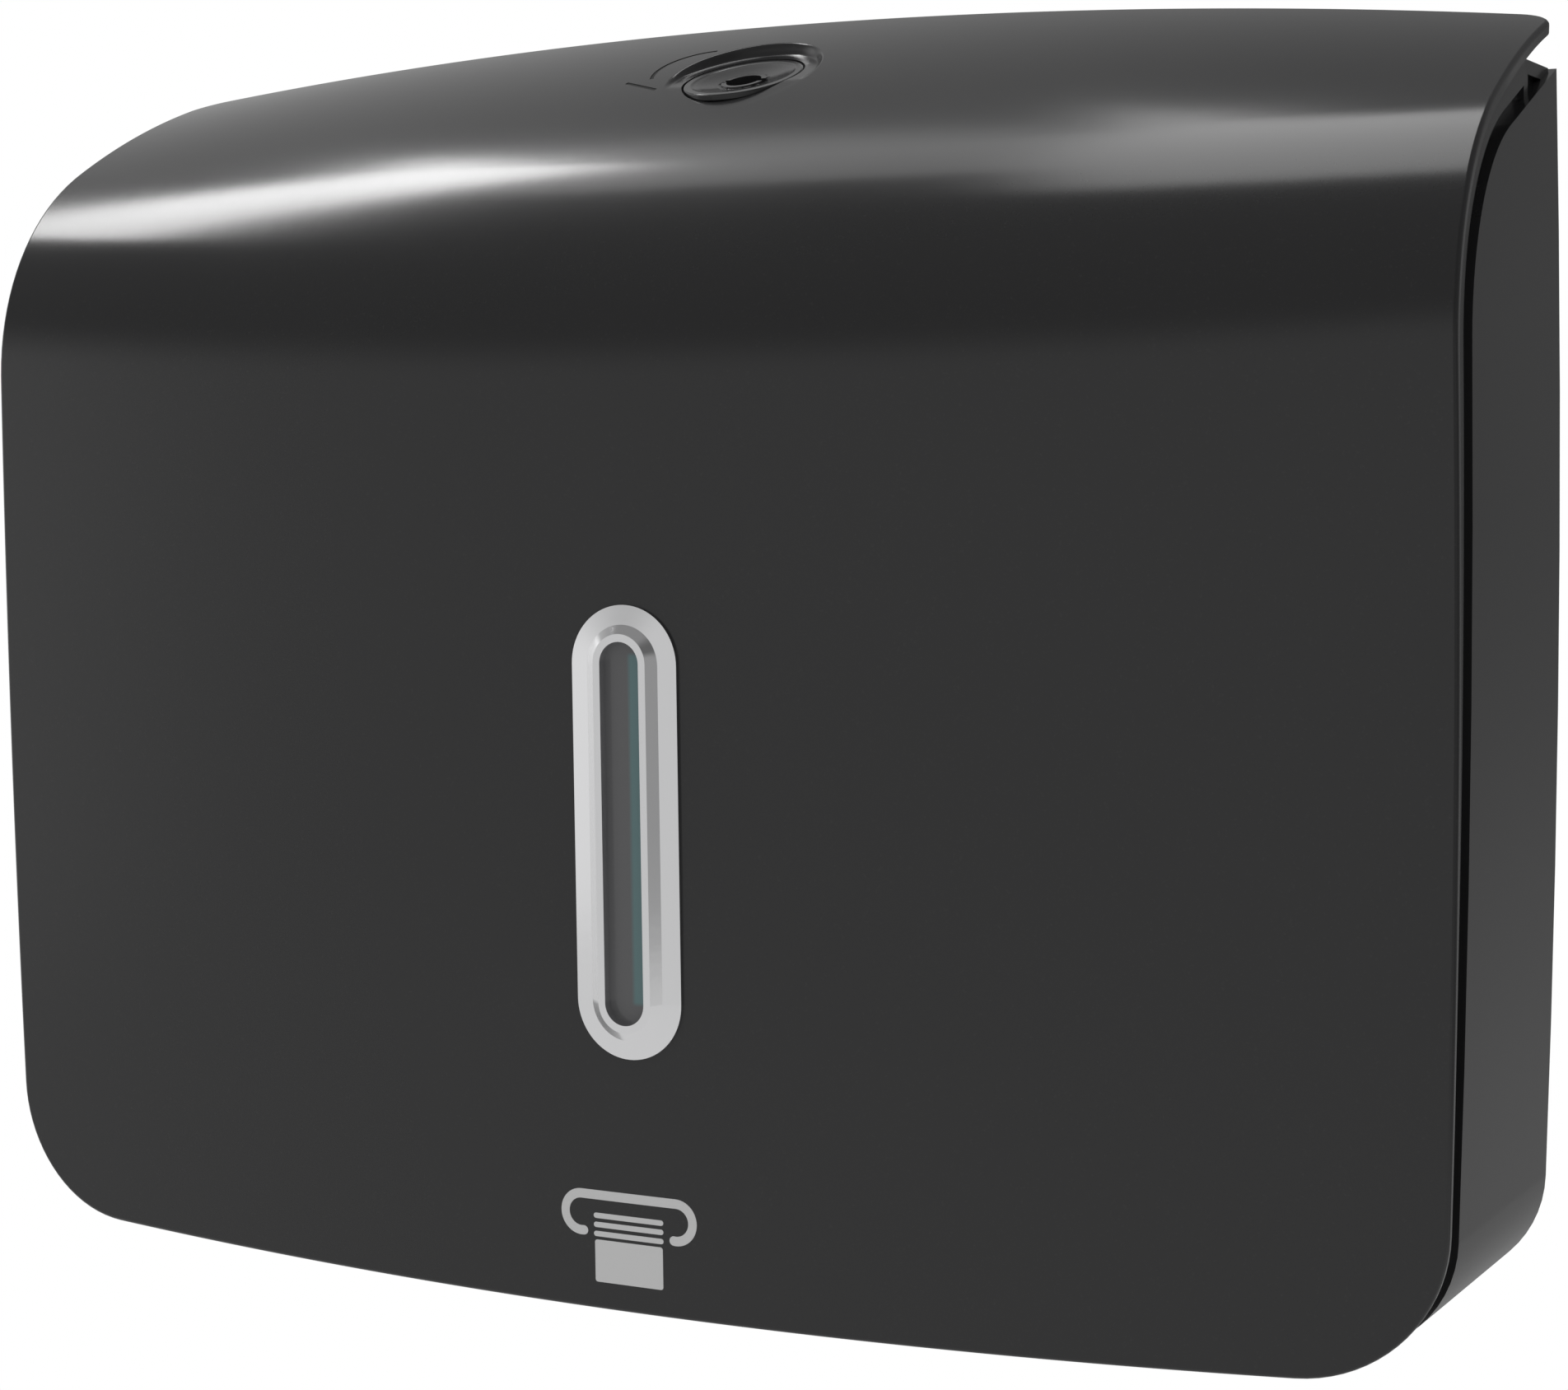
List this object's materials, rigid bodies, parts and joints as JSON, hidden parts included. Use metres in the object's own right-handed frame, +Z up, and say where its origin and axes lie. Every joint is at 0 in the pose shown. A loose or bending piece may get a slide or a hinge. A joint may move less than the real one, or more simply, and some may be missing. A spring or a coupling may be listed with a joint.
{
  "type": "wall-hung paper hand towel dispenser",
  "caption": "Wall-hung dispenser for folded paper hand towels: bowed black cover hinged at the bottom, lock dial on top, level window in front, exit slot below.",
  "frame": {"origin": "centre of the four wall screws, on the back face that lies on the wall", "axes": "+X to the viewer's right, +Y into the wall, +Z up; the front faces -Y"},
  "size_m": [0.3, 0.0853, 0.2413],
  "materials": {
    "black_plastic": "gloss black moulded ABS",
    "bezel_chrome": "satin chromed plastic",
    "smoked_lens": "smoked clear plastic",
    "inner_plastic": "fine-textured dark moulded plastic",
    "steel": "zinc-plated steel",
    "buffer_rubber": "soft black rubber"
  },
  "bodies": {
    "case": {"rear_case": "black_plastic", "towel_tray": "inner_plastic", "towel_guide_left": "inner_plastic", "towel_guide_right": "inner_plastic", "tray_screws": "steel", "strike_plate": "steel", "strike_screws": "steel", "hinge_pin_left": "steel", "hinge_pin_right": "steel", "hinge_clips": "steel", "cover_buffer_left": "buffer_rubber", "cover_buffer_right": "buffer_rubber"},
    "cover": {"front_cover": "black_plastic", "window_bezel": "bezel_chrome", "window_lens": "smoked_lens", "window_retainer": "inner_plastic", "retainer_screws": "steel"},
    "dial": {"lock_dial": "black_plastic", "lock_spring_washer": "steel", "lock_cam": "steel", "cam_washer": "steel", "cam_screw": "steel"}
  },
  "joints": [
    {"name": "cover_hinge", "type": "hinge", "parent": "case", "child": "cover", "pos_m": [0, -0.071, -0.1145], "axis": [1, 0, 0], "range_deg": [0, 90]},
    {"name": "lock_turn", "type": "hinge", "parent": "cover", "child": "dial", "pos_m": [0, -0.0375, 0.10573], "axis": [0, -0.3746, 0.9272], "range_deg": [0, 90]}
  ]
}
